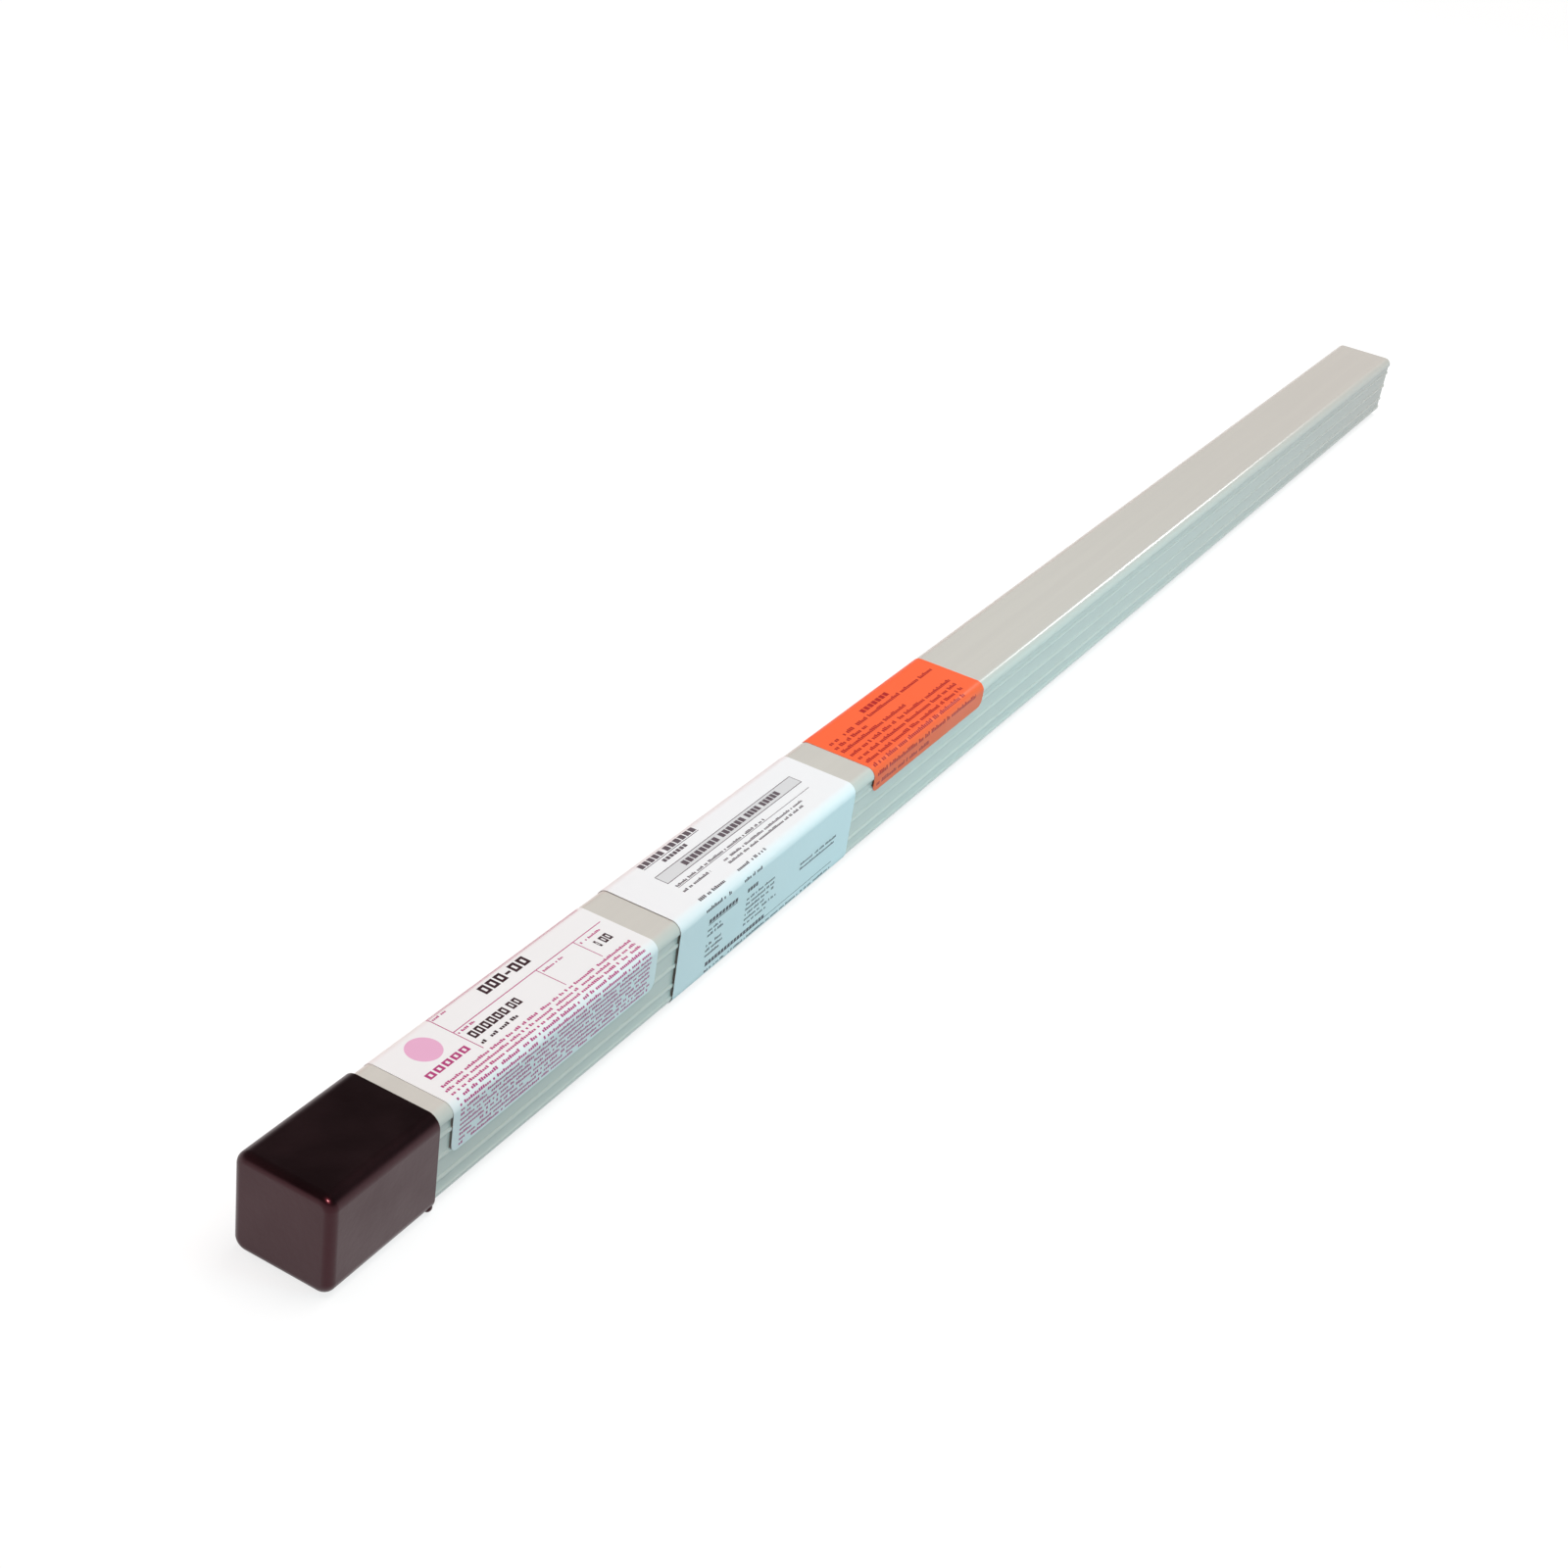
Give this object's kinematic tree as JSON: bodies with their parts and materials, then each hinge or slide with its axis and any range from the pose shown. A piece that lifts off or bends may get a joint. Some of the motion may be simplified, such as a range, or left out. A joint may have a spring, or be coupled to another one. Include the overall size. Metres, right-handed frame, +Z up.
{
  "type": "welding rod storage tube",
  "caption": "Square ribbed plastic tube for long welding filler rods, with a black slip-on end cap, a white label, a wrapped paper sheet and an orange sticker.",
  "frame": {"origin": "on the floor under the middle of the whole length, at the bottom centre of the bounding box", "axes": "+X along the tube, away from the capped end; +Y across; +Z up"},
  "size_m": [0.9258, 0.034, 0.034],
  "materials": {
    "tube_plastic": "satin",
    "cap_vinyl": "satin",
    "plug_plastic": "matte",
    "label_paper": "satin",
    "sheet_paper": "matte",
    "sticker_paper": "satin",
    "rod_steel": "satin"
  },
  "bodies": {
    "tube_body": {"tube": "tube_plastic", "end_plug": "plug_plastic", "product_label": "label_paper", "data_sheet": "sheet_paper", "orange_sticker": "sticker_paper", "filler_rod_01": "rod_steel", "filler_rod_02": "rod_steel", "filler_rod_03": "rod_steel", "filler_rod_04": "rod_steel", "filler_rod_05": "rod_steel", "filler_rod_06": "rod_steel", "filler_rod_07": "rod_steel", "filler_rod_08": "rod_steel", "filler_rod_09": "rod_steel", "filler_rod_10": "rod_steel", "filler_rod_11": "rod_steel", "filler_rod_12": "rod_steel", "filler_rod_13": "rod_steel", "filler_rod_14": "rod_steel"},
    "cap_body": {"end_cap": "cap_vinyl"}
  },
  "joints": [
    {"name": "cap_pull", "type": "slide", "parent": "tube_body", "child": "cap_body", "axis": [-1, 0, 0], "range_m": [0, 0.1]}
  ]
}
